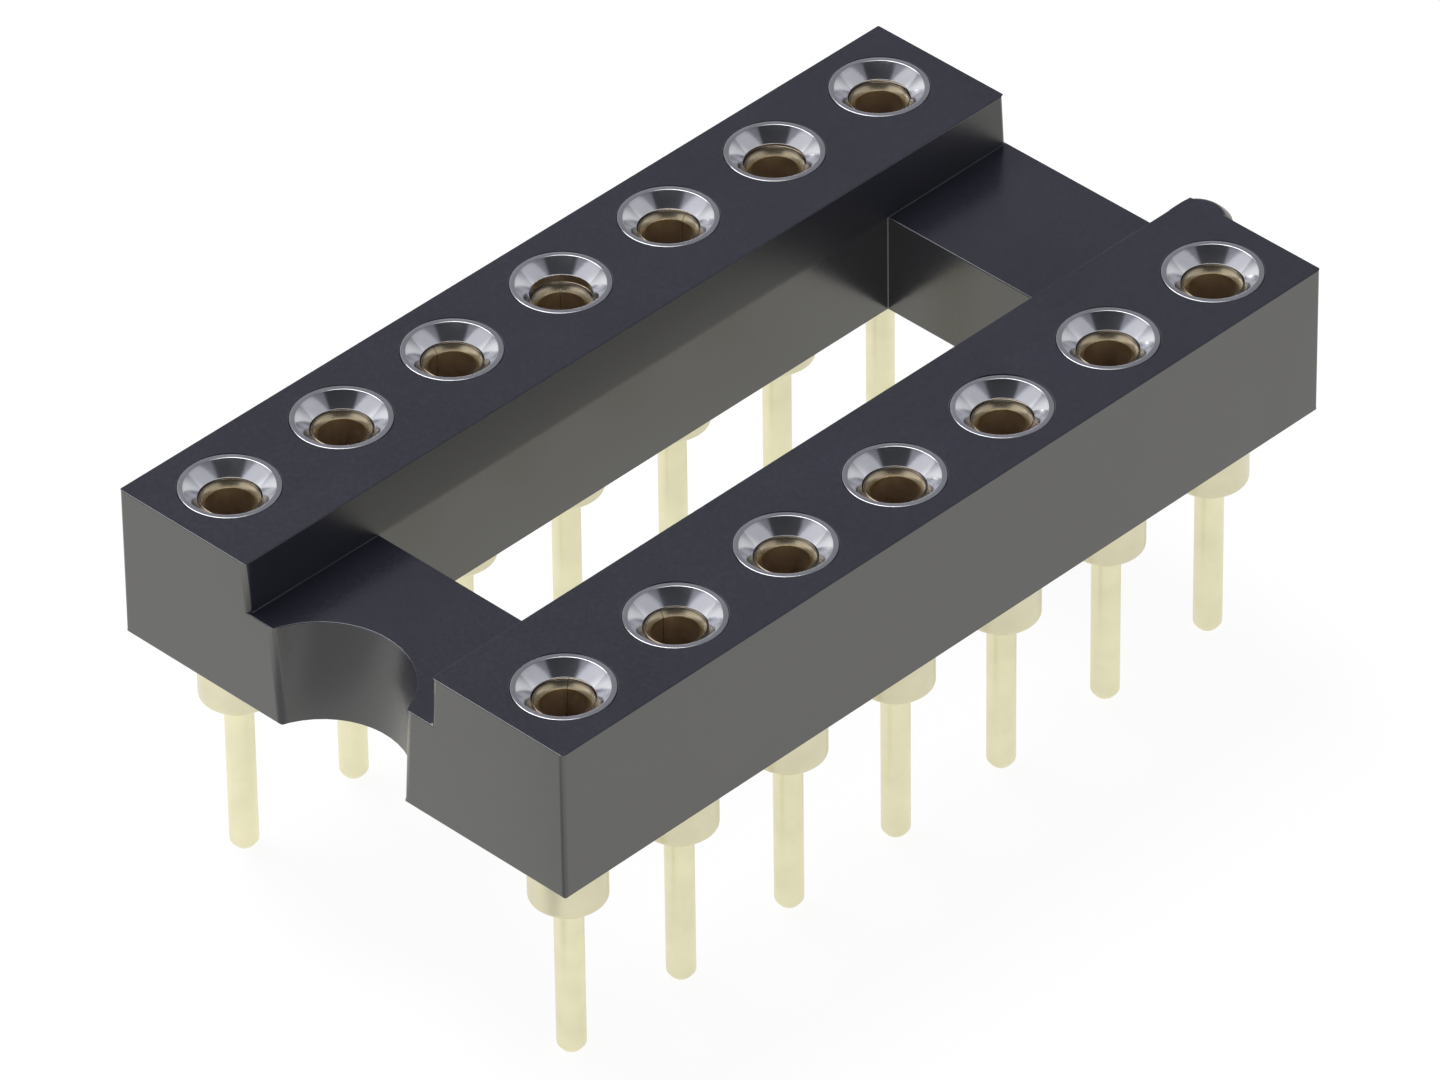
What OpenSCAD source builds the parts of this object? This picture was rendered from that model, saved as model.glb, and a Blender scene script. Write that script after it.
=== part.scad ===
// Fourteen-way dual-in-line socket for an integrated circuit, with turned contacts.
// A moulded open frame carries two rows of turned sleeves, and each sleeve holds a sprung inner clip.
// X runs along the rows with the key notch at -X, Y across them, Z up.
// The origin is the middle of the contact pattern on the face of the board that the socket stands on.

/* [Contact pattern] */
// Number of contacts in each of the two rows
contacts_per_row = 7; // [3:1:14]
// Distance between neighbouring contacts of a row
pitch = 2.54; // [2.3:0.01:4]
// Distance between the two rows
row_spacing = 7.62; // [6.5:0.01:16]

/* [Frame] */
// Distance from the last contact of a row to the end face
end_margin = 1.29; // [1.1:0.01:3]
// Distance from a row of contacts to the outer long side
side_margin = 1.25; // [1.1:0.01:3]
// Height of the frame itself
frame_h = 2.9; // [2.4:0.05:5]
// Radius of the frame's upright corners
corner_r = 0.08; // [0.02:0.01:0.5]
// Clear width between the two rails, below the tops of the crossbars
window_w = 4.12; // [2:0.02:4.4]
// How far the inner side of each rail leans back above the crossbars
rail_lean = 0.12; // [0.02:0.01:0.3]
// Width of each crossbar along the rows
bar_w = 2.92; // [2:0.01:3.2]
// How far the crossbars lie below the tops of the rails
bar_drop = 0.98; // [0.3:0.01:1.5]

/* [Key notch] */
// Radius, at the top of the crossbar, of the notch that marks the end with contact 1
notch_r = 1.61; // [1:0.01:1.9]
// Radius of the notch at the underside of the frame, smaller by the draft of the mould
notch_foot_r = 1.5; // [0.9:0.01:1.9]
// Distance from the end face out to the notch's centre
notch_out = 0.52; // [0.2:0.01:0.7]

/* [Gate mark] */
// Radius of the stub that the moulding gate leaves on the other end face
gate_r = 0.62; // [0.3:0.01:0.8]
// How far the stub stands out of the end face
gate_proud = 0.31; // [0.05:0.01:0.4]
// Distance of the stub from the long centre line
gate_off = 2.54; // [2:0.01:3]
// Height of the stub
gate_h = 0.8; // [0.3:0.05:1.5]
// Bevel round the top of the stub
gate_bevel = 0.15; // [0.02:0.01:0.2]

/* [Sleeve] */
// Diameter of the sleeve's head, flush with the top of the rail
head_d = 1.71; // [1.6:0.01:1.9]
// Height of the sleeve's head
head_h = 0.7; // [0.6:0.05:1.2]
// Diameter of the sleeve's body, which is also its collar below the frame
collar_d = 1.33; // [1.25:0.01:1.5]
// Length of the collar between the frame and the board
collar_l = 1.38; // [0.6:0.01:3]
// Bevel round the lower edge of the collar
collar_bevel = 0.07; // [0.02:0.01:0.15]
// Diameter of the locking ring that grips the frame
barb_d = 1.46; // [1.36:0.01:1.6]
// Height of the locking ring
barb_h = 0.3; // [0.1:0.05:0.5]
// Distance from the underside of the frame up to the locking ring
barb_up = 0.7; // [0.2:0.05:1]

/* [Solder tail] */
// Diameter of the solder tail
tail_d = 0.5; // [0.4:0.01:0.7]
// Length of the solder tail below the board's face
tail_l = 3.15; // [2:0.05:5]
// Diameter of the tail's root against the collar
root_d = 0.6; // [0.5:0.01:0.8]
// Length of the tapered root
root_l = 0.15; // [0.05:0.01:0.4]
// Diameter of the flat at the tail's tip
tip_d = 0.32; // [0.1:0.01:0.45]
// Length of the tail's tapered tip
tip_l = 0.12; // [0.05:0.01:0.5]

/* [Sleeve mouth and bore] */
// Width of the flat rim round the mouth
rim_w = 0.09; // [0.02:0.01:0.2]
// Depth of the funnel that guides the lead in
funnel_h = 0.225; // [0.15:0.005:0.4]
// Diameter of the seat for the clip's lip, at the foot of the funnel
seat_d = 1.06; // [1:0.01:1.3]
// Depth of the bore below the rim
bore_depth = 3.3; // [3:0.05:3.6]
// Angle of the drill point at the foot of the bore
drill_angle = 118; // [90:1:150]

/* [Inner clip] */
// Diameter of the clip's throat
throat_d = 0.8; // [0.7:0.01:0.84]
// Thickness of the strip that the clip is rolled from
strip_t = 0.08; // [0.05:0.01:0.1]
// Height of the clip's lip on its seat
lip_h = 0.18; // [0.12:0.01:0.25]
// Width of the flat on top of the lip
lip_flat = 0.025; // [0.01:0.005:0.05]
// Depth of the bevel that leads from the lip into the throat
lead_h = 0.1; // [0.05:0.005:0.16]
// Length of the plain tube below the lip
tube_l = 0.45; // [0.2:0.05:0.6]
// Length of the sprung fingers
finger_l = 1.9; // [1:0.05:2]
// Clear diameter between the fingertips
grip_d = 0.4; // [0.3:0.01:0.6]
// Number of fingers
fingers = 4; // [3:1:6]
// Width of the slots between the fingers
slot_w = 0.12; // [0.04:0.01:0.14]
// Width of the open seam of the rolled strip
seam_w = 0.01; // [0.005:0.005:0.08]
// Turn from one clip to the next, as they are pressed in at no set angle
clip_turn = 37; // [0:1:90]

/* [Clearances] */
// Radial gap between the sleeve's head and its recess in the frame
head_gap = 0.01; // [0.005:0.005:0.05]
// Radial gap between the sleeve's body and its hole in the frame
body_gap = 0.01; // [0.005:0.005:0.03]
// Radial gap between the clip and the sleeve
clip_gap = 0.01; // [0.005:0.005:0.02]

/* [Hidden] */
contacts = 2 * contacts_per_row;
row_l = (contacts_per_row - 1) * pitch;
frame_l = row_l + 2 * end_margin;
frame_w = row_spacing + 2 * side_margin;
frame_z = collar_l;
top_z = frame_z + frame_h;
bar_z = top_z - bar_drop;
head_z = top_z - head_h;
barb_z = frame_z + barb_up;
seat_z = top_z - funnel_h;
shoulder_z = seat_z - lip_h;
bore_r = throat_d / 2 + strip_t + clip_gap;
bore_z = top_z - bore_depth;
drill_z = bore_z - bore_r / tan(drill_angle / 2);
tube_z = shoulder_z - tube_l;
fingertip_z = tube_z - finger_l;
// How far cutting shapes run past the faces that they cut
past = 0.5;
round_fn = 64;

// Contact 1 stands beside the notch; the count runs along the -Y rail and back along the +Y rail.
function contact_x(i) = i <= contacts_per_row
    ? (i - 1) * pitch - row_l / 2
    : row_l / 2 - (i - contacts_per_row - 1) * pitch;
function contact_y(i) = i <= contacts_per_row ? -row_spacing / 2 : row_spacing / 2;
function numbered(name, i) = str(name, i < 10 ? "_0" : "_", i);

module at_contact(i) {
    translate([contact_x(i), contact_y(i), 0]) children();
}

// What rounding one upright corner takes off the plan, on the side of X and Y that the signs give
module corner_waste(x, y) {
    side = corner_r + past;
    translate([x * (frame_l / 2 - corner_r), y * (frame_w / 2 - corner_r)])
        difference() {
            translate([x * side / 2, y * side / 2]) square(side, center = true);
            circle(r = corner_r, $fn = round_fn);
        }
}

// Plan outline of the frame, with rounded corners
module frame_outline() {
    difference() {
        square([frame_l, frame_w], center = true);
        for (x = [-1, 1], y = [-1, 1]) {
            corner_waste(x, y);
        }
    }
}

// Channel between the rails above the crossbars, with leaning sides, open at both ends
module rail_channel() {
    lean = rail_lean / bar_drop;
    low = window_w / 2;
    high = low + lean * (bar_drop + past);
    rotate([90, 0, 90])
        linear_extrude(height = frame_l + 4 * past, center = true)
            polygon([[-low, bar_z], [low, bar_z], [high, top_z + past], [-high, top_z + past]]);
}

// Window between the crossbars, right through the frame
module window() {
    translate([0, 0, (frame_z + bar_z) / 2])
        cube([frame_l - 2 * bar_w, window_w, bar_z - frame_z + 2 * past], center = true);
}

// Round notch in the crossbar at -X, drafted so that it narrows downwards
module key_notch() {
    draft = (notch_r - notch_foot_r) / (bar_z - frame_z);
    translate([-frame_l / 2 - notch_out, 0, frame_z - past])
        cylinder(
            r1 = notch_foot_r - draft * past,
            r2 = notch_r + draft * past,
            h = bar_z - frame_z + 2 * past,
            $fn = round_fn
        );
}

// Stub of the moulding gate, an upright half round on the end face with a bevelled top
module gate_mark() {
    translate([frame_l / 2 + gate_proud - gate_r, -gate_off, 0])
        rotate_extrude($fn = round_fn)
            polygon([
                [0, top_z - gate_h],
                [gate_r, top_z - gate_h],
                [gate_r, top_z - gate_bevel],
                [gate_r - gate_bevel, top_z],
                [0, top_z]
            ]);
}

// Stepped hole for one sleeve: recess for the head, hole for the body, groove round the locking ring
module sleeve_hole() {
    hole_r = collar_d / 2 + body_gap;
    recess_r = head_d / 2 + head_gap;
    groove_r = barb_d / 2 + body_gap;
    rotate_extrude($fn = round_fn)
        polygon([
            [0, frame_z - past],
            [hole_r, frame_z - past],
            [hole_r, barb_z],
            [groove_r, barb_z + barb_h],
            [hole_r, barb_z + barb_h],
            [hole_r, head_z],
            [recess_r, head_z],
            [recess_r, top_z + past],
            [0, top_z + past]
        ]);
}

// One black moulding: two rails, two lower crossbars, the notch and a stepped hole for each contact
module insulator() {
    color("#2b2c33")
        difference() {
            union() {
                translate([0, 0, frame_z]) linear_extrude(height = frame_h) frame_outline();
                gate_mark();
            }
            rail_channel();
            window();
            key_notch();
            for (i = [1:contacts]) {
                at_contact(i) sleeve_hole();
            }
        }
}

// One turned brass piece: funnel head, body with a locking ring, collar and solder tail, bored from above
module contact_sleeve(i) {
    collar_r = collar_d / 2;
    color("#d8d6c4")
        at_contact(i)
            rotate_extrude($fn = round_fn)
                polygon([
                    [0, -tail_l],
                    [tip_d / 2, -tail_l],
                    [tail_d / 2, tip_l - tail_l],
                    [tail_d / 2, -root_l],
                    [root_d / 2, 0],
                    [collar_r - collar_bevel, 0],
                    [collar_r, collar_bevel],
                    [collar_r, barb_z],
                    [barb_d / 2, barb_z + barb_h],
                    [collar_r, barb_z + barb_h],
                    [collar_r, head_z],
                    [head_d / 2, head_z],
                    [head_d / 2, top_z],
                    [head_d / 2 - rim_w, top_z],
                    [seat_d / 2, seat_z],
                    [seat_d / 2, shoulder_z],
                    [bore_r, shoulder_z],
                    [bore_r, bore_z],
                    [0, drill_z]
                ]);
}

// Slots between the fingers, and the seam of the rolled strip in line with the first of them
module clip_slots() {
    for (k = [0:fingers - 1]) {
        rotate([0, 0, k * 360 / fingers])
            translate([0, -slot_w / 2, fingertip_z - past])
                cube([seat_d, slot_w, finger_l + past]);
    }
    translate([0, -seam_w / 2, tube_z - past]) cube([seat_d, seam_w, seat_z - tube_z + 2 * past]);
}

// One strip of spring copper rolled round: bevelled lip on its seat, plain tube, fingers that close together
module contact_clip(i) {
    throat_r = throat_d / 2;
    lip_r = seat_d / 2 - clip_gap;
    color("#c4984e")
        at_contact(i)
            rotate([0, 0, i * clip_turn])
                difference() {
                    rotate_extrude($fn = round_fn)
                        polygon([
                            [lip_r - lip_flat, seat_z],
                            [lip_r, seat_z],
                            [lip_r, shoulder_z],
                            [throat_r + strip_t, shoulder_z],
                            [throat_r + strip_t, tube_z],
                            [grip_d / 2 + strip_t, fingertip_z],
                            [grip_d / 2, fingertip_z],
                            [throat_r, tube_z],
                            [throat_r, seat_z - lead_h]
                        ]);
                    clip_slots();
                }
}

insulator();
for (i = [1:contacts]) {
    contact_sleeve(i);
    contact_clip(i);
}
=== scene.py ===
from math import cos, pi, radians, sin

import bmesh
import bpy
from mathutils import Matrix, Vector


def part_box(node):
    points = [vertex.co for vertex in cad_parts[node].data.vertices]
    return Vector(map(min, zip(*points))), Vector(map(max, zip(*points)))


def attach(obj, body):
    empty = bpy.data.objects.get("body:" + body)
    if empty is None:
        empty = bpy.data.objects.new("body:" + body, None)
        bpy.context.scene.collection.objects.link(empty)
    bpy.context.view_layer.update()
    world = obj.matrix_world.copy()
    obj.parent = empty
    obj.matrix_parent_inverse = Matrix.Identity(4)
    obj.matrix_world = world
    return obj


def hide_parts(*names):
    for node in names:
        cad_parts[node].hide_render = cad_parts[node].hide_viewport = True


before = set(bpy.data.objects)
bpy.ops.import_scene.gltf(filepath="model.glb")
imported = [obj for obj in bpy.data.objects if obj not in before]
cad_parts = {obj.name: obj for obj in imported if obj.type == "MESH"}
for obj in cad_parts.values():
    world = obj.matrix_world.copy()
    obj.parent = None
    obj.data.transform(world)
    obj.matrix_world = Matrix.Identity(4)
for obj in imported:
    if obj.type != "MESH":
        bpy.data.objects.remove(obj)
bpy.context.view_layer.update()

# Insulator
# One black moulding of glass-filled polyester: two rails, two lower crossbars, a drafted key notch,
# the stub of the moulding gate and a stepped hole for every sleeve. The mould leaves soft edges.
MM = 0.001
# How far cutting shapes run past the faces that they cut; the channel and the slots take half of it
PAST = 1
# Faces narrower than this are what a cut leaves behind
SLIVER = 0.00001
# Edges sharper than this angle, in degrees, stay crisp
CREASE = 35
insulator_low, insulator_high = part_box("insulator")
UNDERSIDE = insulator_low[2] / MM
TOP = insulator_high[2] / MM
END = -insulator_low[0] / MM
SIDE = insulator_high[1] / MM
BAR_TOP = 3.3
BAR_WIDTH = 2.92
WINDOW_HALF = 2.06
# How far the inner side of each rail leans back above the crossbars
RAIL_LEAN = 0.06
# Radii of the upright corners, of the other edges, and of the upright edges of the notch and channel
CORNER = 0.08
EDGE = 0.02
MOUTH_EDGE = 0.12
NOTCH_TOP = 1.61
NOTCH_FOOT = 1.5
# Distance from the end face out to the notch's centre
NOTCH_OUT = 0.52
NOTCH_STEPS = 48
GATE_RADIUS = 0.62
GATE_CENTRE = (insulator_high[0] / MM - GATE_RADIUS, -2.54)
GATE_FOOT = 3.48
GATE_BEVEL = 0.15
PITCH = 2.54
ROW_SPACING = 7.62
PER_ROW = 7
HOLE_RADIUS = 0.675
# Groove that grips the locking ring of the sleeve
GROOVE_RADIUS = 0.74
GROOVE_FOOT = 2.08
GROOVE_TOP = 2.38
RECESS_RADIUS = 0.865
RECESS_FOOT = 3.58
RECESS_EDGE = 0.012


def placed(name, mesh):
    """A new piece that shows the mesh, at the origin and unturned."""
    piece = bpy.data.objects.new(name, mesh)
    bpy.context.scene.collection.objects.link(piece)
    return piece


def solid_through(name, rings):
    """A closed solid through rings of points in millimetres, all with the same number of points."""
    shell = bmesh.new()
    loops = [[shell.verts.new(Vector(point) * MM) for point in ring] for ring in rings]
    count = len(loops[0])
    for below, above in zip(loops, loops[1:]):
        for i in range(count):
            j = (i + 1) % count
            shell.faces.new((below[i], below[j], above[j], above[i]))
    shell.faces.new(loops[0][::-1])
    shell.faces.new(loops[-1])
    bmesh.ops.recalc_face_normals(shell, faces=shell.faces)
    mesh = bpy.data.meshes.new(name)
    shell.to_mesh(mesh)
    shell.free()
    return placed(name, mesh)


def circle(centre, radius, height, steps=96):
    """Points round an upright axis, in millimetres."""
    turns = [2 * pi * (i + 0.5) / steps for i in range(steps)]
    return [(centre[0] + radius * cos(t), centre[1] + radius * sin(t), height) for t in turns]


def box_outline(x, y, height):
    """Corners of a rectangle round the origin, from its half length and half width in millimetres."""
    return [(-x, -y, height), (x, -y, height), (x, y, height), (-x, y, height)]


def settle(piece):
    """Turns the piece's modifiers into plain mesh."""
    whole = piece.evaluated_get(bpy.context.evaluated_depsgraph_get())
    made = bpy.data.meshes.new_from_object(whole)
    worn = piece.data
    piece.modifiers.clear()
    piece.data = made
    bpy.data.meshes.remove(worn)


def join_or_cut(piece, tool, operation="DIFFERENCE"):
    """Cuts the tool out of the piece, or joins it on, and throws the tool away."""
    step = piece.modifiers.new("step", "BOOLEAN")
    step.operation = operation
    step.solver = "EXACT"
    step.object = tool
    settle(piece)
    bpy.data.objects.remove(tool)


def soften(piece, angle=CREASE):
    """Clears slivers, then shades smoothly, with flat faces flat and edges past the angle crisp."""
    fine = bmesh.new()
    fine.from_mesh(piece.data)
    bmesh.ops.dissolve_degenerate(fine, dist=SLIVER * MM, edges=fine.edges)
    fine.to_mesh(piece.data)
    fine.free()
    piece.data.shade_smooth()
    piece.data.set_sharp_from_angle(angle=radians(angle))
    level = piece.modifiers.new("level", "WEIGHTED_NORMAL")
    level.keep_sharp = True
    settle(piece)


def rounded(profile, steps=3):
    """A profile of plain points, with an arc in place of each corner that has a fillet."""
    points = []
    for before, (r, z, fillet), after in zip(profile, profile[1:], profile[2:]):
        here = Vector((r, z))
        towards = (Vector(before[:2]) - here).normalized()
        away = (Vector(after[:2]) - here).normalized()
        for k in range(steps + 1):
            t = k / steps
            points.append(here + fillet * ((1 - t) ** 2 * towards + t ** 2 * away))
    return [Vector(profile[0][:2]), *points, Vector(profile[-1][:2])]


def turned(name, profile, steps, ring=False):
    """A turned solid: points of radius and height in millimetres, swept round the upright axis."""
    shell = bmesh.new()
    loops = []
    for r, z in profile:
        if r < 1e-6:
            loops.append([shell.verts.new((0, 0, z * MM))])
        else:
            loops.append([shell.verts.new(Vector(point) * MM) for point in circle((0, 0), r, z, steps)])
    pairs = list(zip(loops, loops[1:]))
    if ring:
        pairs.append((loops[-1], loops[0]))
    for below, above in pairs:
        for i in range(steps):
            j = (i + 1) % steps
            # A loop of one point is the tip of a cone, so its faces are triangles.
            corners = [below[i % len(below)], below[j % len(below)]]
            corners += [above[j % len(above)], above[i % len(above)]]
            shell.faces.new(list(dict.fromkeys(corners)))
    bmesh.ops.recalc_face_normals(shell, faces=shell.faces)
    mesh = bpy.data.meshes.new(name)
    shell.to_mesh(mesh)
    shell.free()
    return placed(name, mesh)


def channel_end(x):
    """Cross-section of the channel between the rails, whose sides lean back a little."""
    above = TOP + PAST / 2
    wide = WINDOW_HALF + RAIL_LEAN * (above - BAR_TOP) / (TOP - BAR_TOP)
    return [(x, -WINDOW_HALF, BAR_TOP), (x, WINDOW_HALF, BAR_TOP), (x, wide, above), (x, -wide, above)]


def contact_places():
    """Middles of the fourteen contacts, one row after the other."""
    for row in (-1, 1):
        for i in range(PER_ROW):
            yield ((i - (PER_ROW - 1) / 2) * PITCH, row * ROW_SPACING / 2)


insulator = solid_through("insulator_moulding", [
    box_outline(END, SIDE, UNDERSIDE),
    box_outline(END, SIDE, TOP),
])
join_or_cut(insulator, solid_through("channel", [channel_end(-END - PAST), channel_end(END + PAST)]))
join_or_cut(insulator, solid_through("window", [
    box_outline(END - BAR_WIDTH, WINDOW_HALF, UNDERSIDE - PAST),
    box_outline(END - BAR_WIDTH, WINDOW_HALF, TOP + PAST),
]))
draft = (NOTCH_TOP - NOTCH_FOOT) / (BAR_TOP - UNDERSIDE)
notch_centre = (-END - NOTCH_OUT, 0)
join_or_cut(insulator, solid_through("notch", [
    circle(notch_centre, NOTCH_FOOT - draft * PAST, UNDERSIDE - PAST, NOTCH_STEPS),
    circle(notch_centre, NOTCH_TOP + draft * PAST, BAR_TOP + PAST, NOTCH_STEPS),
]))
block = bmesh.new()
block.from_mesh(insulator.data)
rounding = block.edges.layers.float.new("bevel_weight_edge")
for edge in block.edges:
    if edge.calc_face_angle(0) > radians(CREASE):
        first, last = (corner.co / MM for corner in edge.verts)
        width = EDGE
        upright = abs(first.z - last.z) > 0.5
        if upright and abs(first.x) > END - MOUTH_EDGE:
            width = MOUTH_EDGE if abs(first.y) < SIDE - MOUTH_EDGE else CORNER
        edge[rounding] = width / MOUTH_EDGE
block.to_mesh(insulator.data)
block.free()
edges = insulator.modifiers.new("edges", "BEVEL")
edges.width = MOUTH_EDGE * MM
edges.segments = 3
edges.limit_method = "WEIGHT"
edges.use_clamp_overlap = False
settle(insulator)
for place in contact_places():
    join_or_cut(insulator, solid_through("hole", [
        circle(place, HOLE_RADIUS, UNDERSIDE - PAST),
        circle(place, HOLE_RADIUS, GROOVE_FOOT),
        circle(place, GROOVE_RADIUS, GROOVE_TOP),
        circle(place, HOLE_RADIUS, GROOVE_TOP),
        circle(place, HOLE_RADIUS, RECESS_FOOT),
        circle(place, RECESS_RADIUS, RECESS_FOOT),
        circle(place, RECESS_RADIUS, TOP - RECESS_EDGE),
        circle(place, RECESS_RADIUS + 2 * RECESS_EDGE, TOP + RECESS_EDGE),
    ]))
gate = turned("gate", rounded([
    # radius, height, fillet
    (0, GATE_FOOT, 0), (GATE_RADIUS, GATE_FOOT, EDGE), (GATE_RADIUS, TOP - GATE_BEVEL, 2 * EDGE),
    (GATE_RADIUS - GATE_BEVEL, TOP, 2 * EDGE), (0, TOP, 0),
]), 96)
gate.data.transform(Matrix.Translation(Vector((*GATE_CENTRE, 0)) * MM))
join_or_cut(gate, solid_through("channel", [channel_end(-END - PAST), channel_end(END + PAST)]))
join_or_cut(insulator, gate, "UNION")
soften(insulator)

# How dull each face is below and above the top of the crossbars: the mould was less polished on the
# rails' inner sides above it, and in the notch.
dull_below = insulator.data.attributes.new("dull_below", "FLOAT", "FACE")
dull_above = insulator.data.attributes.new("dull_above", "FLOAT", "FACE")
for face in insulator.data.polygons:
    middle = face.center / MM
    from_notch = (middle.xy - Vector(notch_centre)).length
    if abs(face.normal.z) < 0.3 and from_notch < NOTCH_TOP + 0.01:
        dull_below.data[face.index].value = dull_above.data[face.index].value = 0.5
    elif abs(face.normal.y) > 0.9 and abs(middle.y) < WINDOW_HALF + RAIL_LEAN:
        dull_above.data[face.index].value = 1


def finish_named(name):
    """A new procedural material, with its node tree and its surface shader."""
    finish = bpy.data.materials.new(name)
    finish.use_nodes = True
    nodes = finish.node_tree.nodes
    return finish, finish.node_tree, nodes["Principled BSDF"]


def added(tree, kind, settings=None, values=None, **feeds):
    """Adds a node, with its settings, its plain values, and the sockets that feed its inputs."""
    node = tree.nodes.new(kind)
    for name, value in (settings or {}).items():
        setattr(node, name, value)
    for name, value in (values or {}).items():
        node.inputs[name].default_value = value
    for name, source in feeds.items():
        tree.links.new(source, node.inputs[name.replace("_", " ")])
    return node


def ramp(tree, source, stops):
    """A colour ramp fed by the source; each stop is a place and a colour."""
    node = added(tree, "ShaderNodeValToRGB", Fac=source)
    band = node.color_ramp
    band.elements[0].position, band.elements[0].color = stops[0][0], (*stops[0][1], 1)
    band.elements[1].position, band.elements[1].color = stops[-1][0], (*stops[-1][1], 1)
    for place, colour in stops[1:-1]:
        band.elements.new(place).color = (*colour, 1)
    return node.outputs["Color"]


def spread(tree, source, low, high):
    """Maps a value from the middle of a noise's range to low and high."""
    ends = {"From Min": 0.3, "From Max": 0.7, "To Min": low, "To Max": high}
    return added(tree, "ShaderNodeMapRange", values=ends, Value=source).outputs["Result"]


black_polyester, tree, surface = finish_named("black_polyester")
where = added(tree, "ShaderNodeTexCoord").outputs["Object"]
flow = added(tree, "ShaderNodeTexNoise", values={"Scale": 420, "Detail": 3, "Distortion": 0.6},
             Vector=where)
grain = added(tree, "ShaderNodeTexNoise", values={"Scale": 16000, "Detail": 4, "Roughness": 0.6},
              Vector=where)
black = ramp(tree, flow.outputs["Fac"], [(0.3, (0.011, 0.012, 0.022)), (0.7, (0.0155, 0.017, 0.030))])
tree.links.new(black, surface.inputs["Base Color"])
height = added(tree, "ShaderNodeSeparateXYZ", Vector=where).outputs["Z"]
# The polish changes within a narrow band at the top of the crossbars.
dull = added(tree, "ShaderNodeMapRange", {"interpolation_type": "SMOOTHSTEP"},
             {"From Min": 0.00322, "From Max": 0.00336}, Value=height)
for name, end in [("dull_below", "To Min"), ("dull_above", "To Max")]:
    marked = added(tree, "ShaderNodeAttribute", {"attribute_name": name})
    tree.links.new(marked.outputs["Fac"], dull.inputs[end])
matt = added(tree, "ShaderNodeMix", {"data_type": "FLOAT"})
tree.links.new(dull.outputs["Result"], matt.inputs[0])
tree.links.new(spread(tree, grain.outputs["Fac"], 0.17, 0.27), matt.inputs[2])
matt.inputs[3].default_value = 0.36
tree.links.new(matt.outputs[0], surface.inputs["Roughness"])
gloss = added(tree, "ShaderNodeMapRange", values={"To Min": 1, "To Max": 0.65},
              Value=dull.outputs["Result"])
tree.links.new(gloss.outputs["Result"], surface.inputs["Specular IOR Level"])
surface.inputs["IOR"].default_value = 1.56
skin = added(tree, "ShaderNodeBump", values={"Strength": 0.2, "Distance": 0.000004},
             Height=grain.outputs["Fac"])
tree.links.new(skin.outputs["Normal"], surface.inputs["Normal"])
insulator.data.materials.clear()
insulator.data.materials.append(black_polyester)
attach(insulator, "root")
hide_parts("insulator")

# Contact sleeves
# Fourteen turned brass pieces with a bright plating, pressed into the moulding from above: a funnel
# head flush with the rail, a body, a collar that stands on the board, and a solder tail.
SLEEVE_STEPS = 80
# Edges of the sleeve sharper than this angle, in degrees, stay crisp
SLEEVE_CREASE = 60
TAIL_END = -3.15
TAIL_RADIUS = 0.25
TIP_RADIUS = 0.16
TIP_LENGTH = 0.12
ROOT_RADIUS = 0.3
ROOT_LENGTH = 0.15
COLLAR_RADIUS = 0.665
COLLAR_BEVEL = 0.07
RING_RADIUS = 0.73
HEAD_RADIUS = 0.855
RIM = 0.09
SEAT_RADIUS = 0.53
FUNNEL_FOOT = 4.055
# The seat is deep enough for the clip that sits lowest
SEAT_FOOT = 3.745
BORE_RADIUS = 0.49
BORE_FOOT = 0.98
DRILL_POINT = 0.6856
# How far the sleeves differ in height
SLEEVE_SPREAD = 0.012
SLEEVE_PROFILE = [
    # radius, height, fillet
    (0, TAIL_END, 0),
    (TIP_RADIUS, TAIL_END, 0.02),
    (TAIL_RADIUS, TAIL_END + TIP_LENGTH, 0.03),
    (TAIL_RADIUS, -ROOT_LENGTH, 0.1),
    (ROOT_RADIUS, 0, 0.02),
    (COLLAR_RADIUS - COLLAR_BEVEL, 0, 0.03),
    (COLLAR_RADIUS, COLLAR_BEVEL, 0.03),
    (COLLAR_RADIUS, GROOVE_FOOT, 0.02),
    (RING_RADIUS, GROOVE_TOP, 0.01),
    (COLLAR_RADIUS, GROOVE_TOP, 0.01),
    (COLLAR_RADIUS, RECESS_FOOT, 0.02),
    (HEAD_RADIUS, RECESS_FOOT, 0.02),
    (HEAD_RADIUS, TOP, 0.012),
    (HEAD_RADIUS - RIM, TOP, 0.006),
    (SEAT_RADIUS, FUNNEL_FOOT, 0.008),
    (SEAT_RADIUS, SEAT_FOOT, 0.01),
    (BORE_RADIUS, SEAT_FOOT, 0.01),
    (BORE_RADIUS, BORE_FOOT, 0.02),
    (0, DRILL_POINT, 0),
]


def input_named(node, name):
    """The node's live input of that name, where several kinds share it."""
    return next(socket for socket in node.inputs if socket.name == name and socket.enabled)


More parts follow.
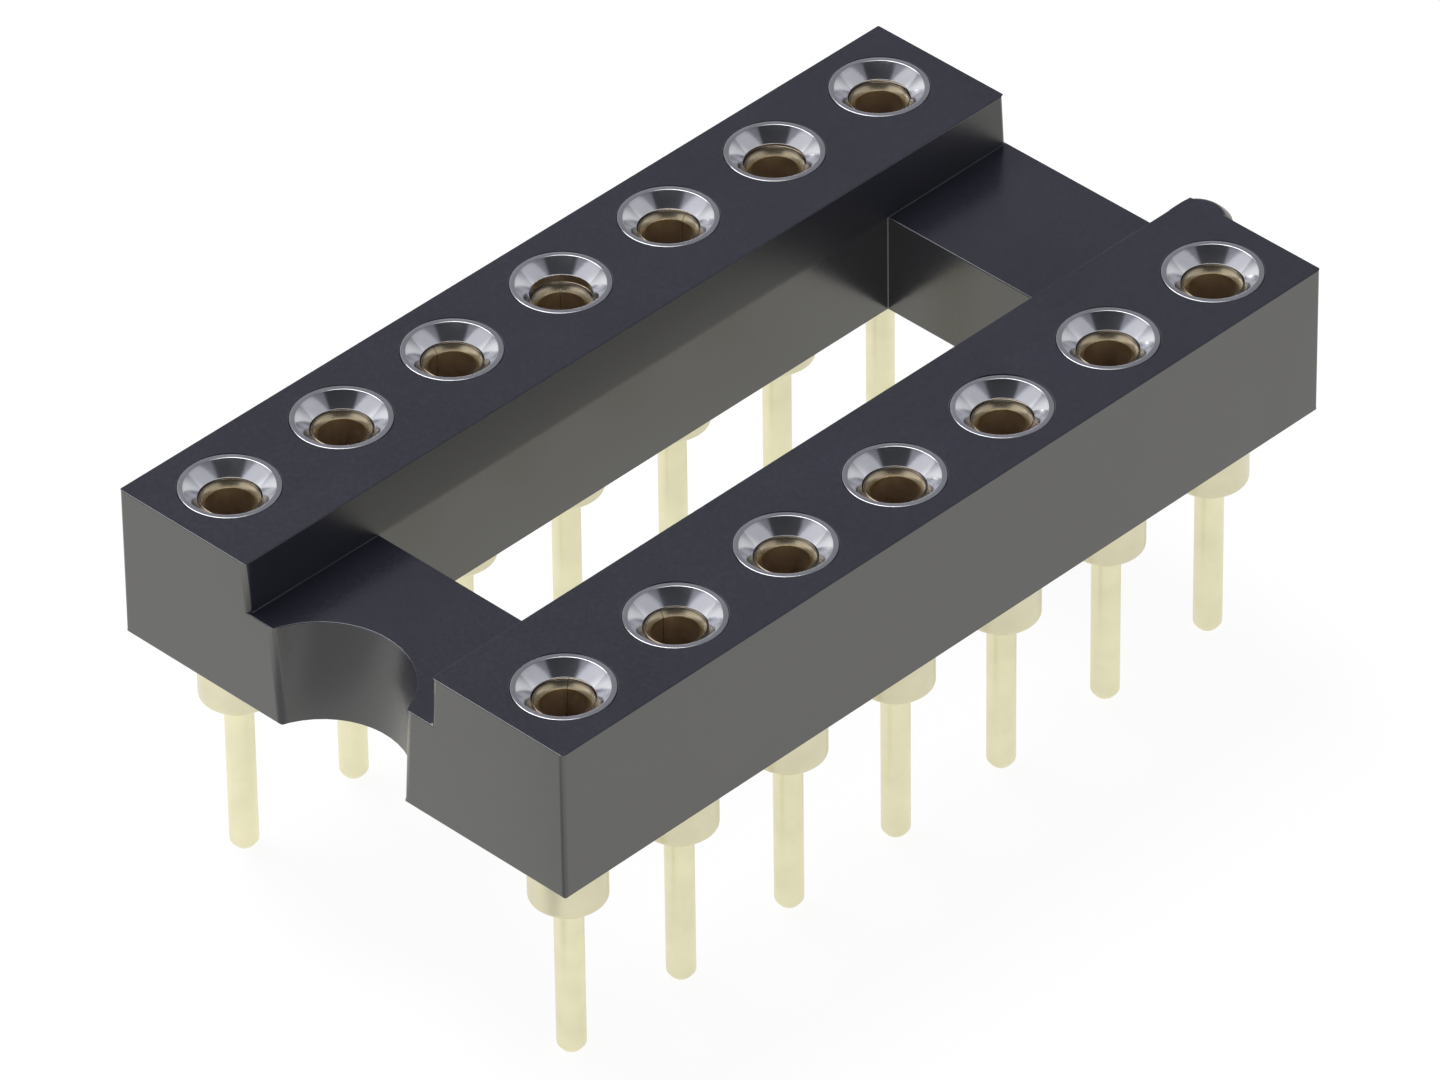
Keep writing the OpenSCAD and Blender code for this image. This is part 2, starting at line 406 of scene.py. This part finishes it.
def contact_rows():
    """Geometry Nodes tree that sets the master piece on both rows, each turned and lowered a little."""
    rows = bpy.data.node_groups.new("contact_rows", "GeometryNodeTree")
    sockets = {}
    for name, kind in [("Master", "Geometry"), ("Pitch", "Float"), ("Row spacing", "Float"),
                       ("Contacts per row", "Int"), ("Turn between contacts", "Float"),
                       ("Deepest", "Float"), ("Seed", "Int"), ("Finish", "Material")]:
        sockets[name] = rows.interface.new_socket(name, in_out="INPUT", socket_type="NodeSocket" + kind)
    rows.interface.new_socket("Rows", in_out="OUTPUT", socket_type="NodeSocketGeometry")
    given = rows.nodes.new("NodeGroupInput").outputs

    def math(operation, first, second):
        """Arithmetic on two sockets or plain values."""
        node = rows.nodes.new("ShaderNodeMath")
        node.operation = operation
        for socket, value in zip(node.inputs, (first, second)):
            if isinstance(value, (int, float)):
                socket.default_value = value
            else:
                rows.links.new(value, socket)
        return node.outputs[0]

    def vector(z):
        """A vector with only its upright part set."""
        node = rows.nodes.new("ShaderNodeCombineXYZ")
        rows.links.new(z, node.inputs["Z"])
        return node.outputs[0]

    gaps = math("SUBTRACT", given["Contacts per row"], 1)
    grid = added(rows, "GeometryNodeMeshGrid", values={"Vertices Y": 2})
    rows.links.new(math("MULTIPLY", gaps, given["Pitch"]), grid.inputs["Size X"])
    rows.links.new(given["Row spacing"], grid.inputs["Size Y"])
    rows.links.new(given["Contacts per row"], grid.inputs["Vertices X"])

    # Contacts are counted along the -Y row and back along the +Y row.
    middle = rows.nodes.new("GeometryNodeInputPosition").outputs[0]
    place = added(rows, "ShaderNodeSeparateXYZ", Vector=middle)
    row = math("SIGN", place.outputs["Y"], 0)
    along = math("SUBTRACT", math("MULTIPLY", given["Contacts per row"], 0.5),
                 math("DIVIDE", place.outputs["X"], given["Pitch"]))
    number = math("ADD", math("ADD", given["Contacts per row"], 0.5), math("MULTIPLY", row, along))

    local = added(rows, "GeometryNodeStoreNamedAttribute",
                  {"data_type": "FLOAT_VECTOR", "domain": "POINT"}, {"Name": "turned_place"},
                  Geometry=given["Master"])
    rows.links.new(rows.nodes.new("GeometryNodeInputPosition").outputs[0], input_named(local, "Value"))
    spun = added(rows, "GeometryNodeInstanceOnPoints", Points=grid.outputs["Mesh"],
                 Instance=local.outputs["Geometry"])
    turn = math("MULTIPLY", number, given["Turn between contacts"])
    rows.links.new(vector(turn), spun.inputs["Rotation"])

    chance = added(rows, "FunctionNodeRandomValue", {"data_type": "FLOAT"})
    rows.links.new(given["Seed"], input_named(chance, "Seed"))
    lowered = added(rows, "GeometryNodeTranslateInstances", Instances=spun.outputs["Instances"])
    # The fifth power leaves most near the top and lets one or two sit deep.
    few = math("POWER", chance.outputs[1], 5)
    drop = math("MULTIPLY", math("MULTIPLY", few, given["Deepest"]), -1)
    rows.links.new(vector(drop), lowered.inputs["Translation"])
    marked = added(rows, "GeometryNodeStoreNamedAttribute",
                   {"data_type": "FLOAT", "domain": "INSTANCE"}, {"Name": "contact_chance"},
                   Geometry=lowered.outputs["Instances"])
    rows.links.new(chance.outputs[1], input_named(marked, "Value"))
    real = added(rows, "GeometryNodeRealizeInstances", Geometry=marked.outputs["Geometry"])
    dressed = added(rows, "GeometryNodeSetMaterial", Geometry=real.outputs["Geometry"],
                    Material=given["Finish"])
    rows.links.new(dressed.outputs["Geometry"], rows.nodes.new("NodeGroupOutput").inputs["Rows"])
    return rows, {name: socket.identifier for name, socket in sockets.items()}


rows_tree, rows_input = contact_rows()


def set_in_rows(master, finish, turn, deepest, seed):
    """Sets the master on both rows with the tree above, and leaves one plain mesh."""
    rows = master.modifiers.new("rows", "NODES")
    rows.node_group = rows_tree
    settings = {
        "Pitch": PITCH * MM,
        "Row spacing": ROW_SPACING * MM,
        "Contacts per row": PER_ROW,
        "Turn between contacts": radians(turn),
        "Deepest": deepest * MM,
        "Seed": seed,
        "Finish": finish,
    }
    for name, value in settings.items():
        rows[rows_input[name]] = value
    settle(master)


plated_brass, tree, surface = finish_named("plated_brass")
where = added(tree, "ShaderNodeTexCoord").outputs["Object"]
height = added(tree, "ShaderNodeSeparateXYZ", Vector=where).outputs["Z"]
tone = added(tree, "ShaderNodeMapRange", values={"From Min": -0.0005, "From Max": 0.0043}, Value=height)
# Partly plating and partly painted shade: the collar and body are coloured darker than the tail.
plating_and_painted_shade = ramp(tree, tone.outputs["Result"], [
    # tail; collar and body darker, a painted shade beneath the moulding; funnel; and the rim's flat top a
    # little darker
    (0.066, (0.82, 0.79, 0.59)), (0.131, (0.72, 0.69, 0.535)), (0.394, (0.70, 0.67, 0.53)),
    (0.937, (0.89, 0.89, 0.915)), (0.986, (0.89, 0.89, 0.915)), (0.996, (0.79, 0.79, 0.815)),
])
local = added(tree, "ShaderNodeAttribute", {"attribute_name": "turned_place"}).outputs["Vector"]
chance = added(tree, "ShaderNodeAttribute", {"attribute_name": "contact_chance"}).outputs["Fac"]
apart = added(tree, "ShaderNodeSeparateXYZ", Vector=local)
flat = added(tree, "ShaderNodeCombineXYZ", X=apart.outputs["X"], Y=apart.outputs["Y"])
radius = added(tree, "ShaderNodeVectorMath", {"operation": "LENGTH"}, Vector=flat.outputs[0])
ring = added(tree, "ShaderNodeCombineXYZ", X=radius.outputs["Value"], Y=apart.outputs["Z"], Z=chance)
cuts = added(tree, "ShaderNodeTexNoise", values={"Scale": 45000, "Detail": 3}, Vector=ring.outputs[0])
haze = added(tree, "ShaderNodeTexNoise", values={"Scale": 1800, "Detail": 4}, Vector=where)
mottle = added(tree, "ShaderNodeMix", {"data_type": "RGBA", "blend_type": "MULTIPLY"})
tree.links.new(plating_and_painted_shade, mottle.inputs[6])
fade = ramp(tree, haze.outputs["Fac"], [(0.3, (0.9, 0.9, 0.89)), (0.7, (1, 1, 1))])
tree.links.new(fade, mottle.inputs[7])
mottle.inputs[0].default_value = 1
tree.links.new(mottle.outputs[2], surface.inputs["Base Color"])
surface.inputs["Metallic"].default_value = 1
satin = added(tree, "ShaderNodeMapRange",
              values={"From Min": 0, "From Max": 0.0036, "To Min": 0.2, "To Max": 0}, Value=height)
rough = added(tree, "ShaderNodeMath", {"operation": "ADD"})
tree.links.new(spread(tree, haze.outputs["Fac"], 0.10, 0.17), rough.inputs[0])
tree.links.new(satin.outputs["Result"], rough.inputs[1])
tree.links.new(rough.outputs[0], surface.inputs["Roughness"])
lathe = added(tree, "ShaderNodeBump", values={"Strength": 0.25, "Distance": 0.000002},
              Height=cuts.outputs["Fac"])
tree.links.new(lathe.outputs["Normal"], surface.inputs["Normal"])

sleeves = turned("contact_sleeves", rounded(SLEEVE_PROFILE), SLEEVE_STEPS)
soften(sleeves, SLEEVE_CREASE)
set_in_rows(sleeves, plated_brass, turn=0, deepest=SLEEVE_SPREAD, seed=4)
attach(sleeves, "root")
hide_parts(*[f"contact_sleeve_{i:02d}" for i in range(1, 2 * PER_ROW + 1)])

# Contact clips
# Fourteen clips rolled from gold-plated strip and pressed into the sleeves at no set angle. A bevelled
# lip rests on the seat below the funnel, and four fingers close together under it to grip the lead.
CLIP_STEPS = 64
# Turn from one clip to the next, in degrees
CLIP_TURN = 37
CLIP_DEPTH = 0.165
STRIP = 0.08
LIP_RADIUS = 0.52
LIP_TOP = 4.054
LIP_FOOT = 3.875
THROAT = 0.4
GRIP = 0.2
FINGERS = 4
SLOT = 0.12
SLOT_TOP = 3.425
FINGERTIP = 1.525
SEAM = 0.01
# Reach of the blade that saws the slots and the seam
BLADE_REACH = 0.7
CLIP_PROFILE = [
    # radius, height: the lip's round, the outside down to a fingertip, the inside up to the lead-in
    (LIP_RADIUS - 0.023, LIP_TOP),
    (LIP_RADIUS - 0.012, LIP_TOP - 0.002),
    (LIP_RADIUS - 0.003, LIP_TOP - 0.011),
    (LIP_RADIUS, LIP_TOP - 0.029),
    (LIP_RADIUS, LIP_FOOT),
    (THROAT + STRIP, LIP_FOOT),
    (THROAT + STRIP, SLOT_TOP),
    (GRIP + STRIP, FINGERTIP),
    (GRIP, FINGERTIP),
    (THROAT, SLOT_TOP),
    (THROAT, LIP_TOP - 0.114),
    (THROAT + 0.004, LIP_TOP - 0.099),
    (LIP_RADIUS - 0.035, LIP_TOP - 0.008),
]


def slot_tool(turn, width, low, high):
    """A flat blade that reaches out from the axis at an angle, to saw one slot."""
    out = Vector((cos(turn), sin(turn), 0)) * BLADE_REACH
    across = Vector((-sin(turn), cos(turn), 0)) * width / 2
    foot = [-across, out - across, out + across, across]
    return solid_through("blade", [[tuple(p + Vector((0, 0, z))) for p in foot] for z in (low, high)])


gilt_copper, tree, surface = finish_named("gilt_copper")
where = added(tree, "ShaderNodeTexCoord").outputs["Object"]
local = added(tree, "ShaderNodeAttribute", {"attribute_name": "turned_place"}).outputs["Vector"]
stretch = added(tree, "ShaderNodeMapping", values={"Scale": (1, 1, 0.15)}, Vector=local)
rolled = added(tree, "ShaderNodeTexNoise", values={"Scale": 30000, "Detail": 3}, Vector=stretch.outputs[0])
patch = added(tree, "ShaderNodeTexNoise", values={"Scale": 5000, "Detail": 3}, Vector=where)
gilding = ramp(tree, patch.outputs["Fac"], [(0.3, (0.61, 0.51, 0.34)), (0.7, (0.68, 0.58, 0.385))])
height = added(tree, "ShaderNodeSeparateXYZ", Vector=local).outputs["Z"]
depth = added(tree, "ShaderNodeMapRange", values={"From Min": 0.00365, "From Max": 0.00405}, Value=height)
# Painted shade: the gilding is darkened inside the throat and, much more, on the lip's flat top.
painted_shade_mix = added(tree, "ShaderNodeMix", {"data_type": "RGBA", "blend_type": "MULTIPLY"})
tree.links.new(gilding, painted_shade_mix.inputs[6])
painted_shade = ramp(tree, depth.outputs["Result"], [
    # painted shade inside the throat, none on the lead-in, and a deeper painted shade on the flat top of
    # the lip
    (0, (0.8, 0.74, 0.82)), (0.77, (1, 1, 1)), (0.93, (1, 1, 1)), (1, (0.36, 0.35, 0.4)),
])
tree.links.new(painted_shade, painted_shade_mix.inputs[7])
painted_shade_mix.inputs[0].default_value = 1
tree.links.new(painted_shade_mix.outputs[2], surface.inputs["Base Color"])
surface.inputs["Metallic"].default_value = 1
dull = added(tree, "ShaderNodeMapRange", values={"To Min": 0.55, "To Max": 0.18},
             Value=depth.outputs["Result"])
uneven = added(tree, "ShaderNodeMath", {"operation": "MULTIPLY_ADD"})
tree.links.new(rolled.outputs["Fac"], uneven.inputs[0])
uneven.inputs[1].default_value = 0.08
tree.links.new(dull.outputs["Result"], uneven.inputs[2])
tree.links.new(uneven.outputs[0], surface.inputs["Roughness"])
rolling = added(tree, "ShaderNodeBump", values={"Strength": 0.15, "Distance": 0.000001},
                Height=rolled.outputs["Fac"])
tree.links.new(rolling.outputs["Normal"], surface.inputs["Normal"])

clips = turned("contact_clips", CLIP_PROFILE, CLIP_STEPS, ring=True)
for k in range(FINGERS):
    join_or_cut(clips, slot_tool(2 * pi * k / FINGERS, SLOT, FINGERTIP - PAST / 2, SLOT_TOP))
# The seam of the rolled strip runs up from the first slot.
join_or_cut(clips, slot_tool(0, SEAM, SLOT_TOP - 0.1, LIP_TOP + PAST / 2))
soften(clips)
set_in_rows(clips, gilt_copper, turn=CLIP_TURN, deepest=CLIP_DEPTH, seed=452)
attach(clips, "root")
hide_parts(*[f"contact_clip_{i:02d}" for i in range(1, 2 * PER_ROW + 1)])

# Floor
# A plain white studio sweep that the solder tails stand on. It shines for the camera and in
# reflections only, where it is warm, with painted light that makes it brighter to the left and a
# painted shadow that darkens a patch in front, and it keeps a faint shadow of the socket.
FLOOR_LEVEL = (TAIL_END - 0.01) * MM
FLOOR_RADIUS = 1.5
# Directions along the floor, as the camera sees them
LEFT = (-0.707, 0.707, 0)
FRONT = (-0.707, -0.707, 0)
disc = bmesh.new()
bmesh.ops.create_circle(disc, cap_ends=True, segments=96, radius=FLOOR_RADIUS,
                        matrix=Matrix.Translation((0, 0, FLOOR_LEVEL)))
floor_mesh = bpy.data.meshes.new("floor")
disc.to_mesh(floor_mesh)
disc.free()
floor = placed("floor", floor_mesh)
white_sweep, tree, surface = finish_named("white_sweep")
surface.inputs["Roughness"].default_value = 0.9
surface.inputs["Specular IOR Level"].default_value = 0.1
ray = added(tree, "ShaderNodeLightPath")


def greater(first, second):
    """The greater of two sockets of the floor's material."""
    node = tree.nodes.new("ShaderNodeMath")
    node.operation = "MAXIMUM"
    tree.links.new(first, node.inputs[0])
    tree.links.new(second, node.inputs[1])
    return node.outputs[0]


reflected = greater(ray.outputs["Is Glossy Ray"], ray.outputs["Is Transmission Ray"])
seen = greater(ray.outputs["Is Camera Ray"], reflected)
paint = ramp(tree, seen, [(0, (0.82, 0.82, 0.8)), (1, (0.13, 0.13, 0.13))])
tree.links.new(paint, surface.inputs["Base Color"])
where = added(tree, "ShaderNodeTexCoord").outputs["Object"]
leftwards = added(tree, "ShaderNodeVectorMath", {"operation": "DOT_PRODUCT"}, Vector=where)
leftwards.inputs[1].default_value = LEFT
# Painted light: the floor's glow in reflections grows brighter towards the left.
rising = added(tree, "ShaderNodeMapRange", {"interpolation_type": "SMOOTHSTEP"},
               {"From Min": -0.002, "From Max": 0.012}, Value=leftwards.outputs["Value"])
glow_and_painted_light = ramp(tree, rising.outputs["Result"], [(0, (0.90, 0.885, 0.80)), (1, (1, 0.985, 0.89))])
forwards = added(tree, "ShaderNodeVectorMath", {"operation": "DOT_PRODUCT"}, Vector=where)
forwards.inputs[1].default_value = FRONT
# Painted shadow: a darker patch of floor in front of the socket, seen only in reflections and kept to the
# left side by the mask below.
painted_shadow_in_front = added(tree, "ShaderNodeMapRange", {"interpolation_type": "SMOOTHSTEP"},
                {"From Min": 0.0092, "From Max": 0.0115, "To Min": 1, "To Max": 0.6},
                Value=forwards.outputs["Value"])
beside = added(tree, "ShaderNodeMapRange", {"interpolation_type": "SMOOTHSTEP"},
               {"From Min": 0.0035, "From Max": 0.0055, "To Min": 1}, Value=leftwards.outputs["Value"])
tree.links.new(painted_shadow_in_front.outputs["Result"], beside.inputs["To Max"])
lit = added(tree, "ShaderNodeVectorMath", {"operation": "SCALE"}, Vector=glow_and_painted_light,
            Scale=beside.outputs["Result"])
tint = added(tree, "ShaderNodeMix", {"data_type": "RGBA"})
tree.links.new(reflected, tint.inputs[0])
tint.inputs[6].default_value = (0.92, 0.92, 0.92, 1)
tree.links.new(lit.outputs[0], tint.inputs[7])
tree.links.new(tint.outputs[2], surface.inputs["Emission Color"])
tree.links.new(seen, surface.inputs["Emission Strength"])
floor.data.materials.append(white_sweep)

# Light
# A soft studio: a pale horizon that darkens to a cool grey overhead and a dark card above the camera
# for what is reflected, one lamp above and one behind, and a softbox on either side of the camera.
CAMERA_AZIMUTH = radians(-45.2989)
CARD_ELEVATION = radians(55)
LAMP_DISTANCE = 0.5
studio = bpy.data.worlds.new("studio")
bpy.context.scene.world = studio
studio.use_nodes = True
tree = studio.node_tree
sky = tree.nodes["Background"]
way = added(tree, "ShaderNodeTexCoord").outputs["Generated"]
up = added(tree, "ShaderNodeSeparateXYZ", Vector=way).outputs["Z"]
dome = ramp(tree, up, [
    (0, (0.85, 0.85, 0.84)), (0.26, (0.7, 0.71, 0.74)), (0.48, (0.25, 0.25, 0.28)),
    (0.72, (0.235, 0.24, 0.275)), (1, (0.12, 0.125, 0.145)),
])
# The studio is a little brighter to the camera's left.
side = added(tree, "ShaderNodeVectorMath", {"operation": "DOT_PRODUCT"}, Vector=way)
side.inputs[1].default_value = (-cos(CAMERA_AZIMUTH), -sin(CAMERA_AZIMUTH), 0)
keep = added(tree, "ShaderNodeMapRange",
             values={"From Min": -0.5, "From Max": 0.5, "To Min": 0.82, "To Max": 1.12},
             Value=side.outputs["Value"])
leaning = added(tree, "ShaderNodeVectorMath", {"operation": "SCALE"}, Vector=dome,
                Scale=keep.outputs["Result"])
card = added(tree, "ShaderNodeVectorMath", {"operation": "DOT_PRODUCT"}, Vector=way)
card.inputs[1].default_value = (sin(CAMERA_AZIMUTH) * cos(CARD_ELEVATION),
                                -cos(CAMERA_AZIMUTH) * cos(CARD_ELEVATION), sin(CARD_ELEVATION))
shade = added(tree, "ShaderNodeMapRange", {"interpolation_type": "SMOOTHSTEP"},
              {"From Min": 0.84, "From Max": 0.89, "To Min": 1, "To Max": 0.22},
              Value=card.outputs["Value"])
dimmed = added(tree, "ShaderNodeVectorMath", {"operation": "SCALE"}, Vector=leaning.outputs[0],
               Scale=shade.outputs["Result"])
ray = added(tree, "ShaderNodeLightPath")
backdrop = added(tree, "ShaderNodeMix", {"data_type": "VECTOR"})
tree.links.new(ray.outputs["Is Camera Ray"], backdrop.inputs[0])
tree.links.new(dimmed.outputs[0], backdrop.inputs[4])
backdrop.inputs[5].default_value = (1, 1, 1)
tree.links.new(backdrop.outputs[1], sky.inputs["Color"])


def soft_lamp(name, turn, elevation, width, height, radiance, colour=(1, 1, 1)):
    """A rectangular lamp that faces the socket, at a turn in degrees from the camera's side."""
    light = bpy.data.lights.new(name, "AREA")
    light.shape = "RECTANGLE"
    light.size, light.size_y = width, height
    light.energy = radiance * pi * width * height
    light.color = colour
    lamp = bpy.data.objects.new(name, light)
    bpy.context.scene.collection.objects.link(lamp)
    lamp.matrix_world = (Matrix.Rotation(CAMERA_AZIMUTH + radians(turn), 4, "Z")
                         @ Matrix.Rotation(pi / 2 - radians(elevation), 4, "X")
                         @ Matrix.Translation((0, 0, LAMP_DISTANCE)))


soft_lamp("lamp_behind", turn=-135, elevation=64, width=0.34, height=0.34, radiance=3.6)
soft_lamp("lamp_above", turn=0, elevation=88, width=0.3, height=0.3, radiance=1.3)
for name, turn, radiance in [("softbox_left", -78, 0.36), ("softbox_right", 78, 0.25)]:
    soft_lamp(name, turn, elevation=32, width=0.62, height=0.26, radiance=radiance,
              colour=(0.95, 0.96, 1))

# Camera
# A long lens that looks down at the corner with contact 1, as the photograph was taken.
FOCAL_LENGTH = 325.974
CAMERA_PLACE = (-0.1213024, -0.1198522, 0.1325044)
CAMERA_ELEVATION = radians(37.6541)
CAMERA_ROLL = radians(-0.7876)
lens = bpy.data.cameras.new("camera")
lens.lens = FOCAL_LENGTH
lens.sensor_width = 36
lens.sensor_fit = "HORIZONTAL"
lens.clip_start = 0.01
camera = bpy.data.objects.new("camera", lens)
bpy.context.scene.collection.objects.link(camera)
camera.matrix_world = (Matrix.Translation(CAMERA_PLACE)
                       @ Matrix.Rotation(CAMERA_AZIMUTH, 4, "Z")
                       @ Matrix.Rotation(pi / 2 - CAMERA_ELEVATION, 4, "X")
                       @ Matrix.Rotation(CAMERA_ROLL, 4, "Z"))
bpy.context.scene.camera = camera
bpy.context.scene.view_settings.view_transform = "Standard"
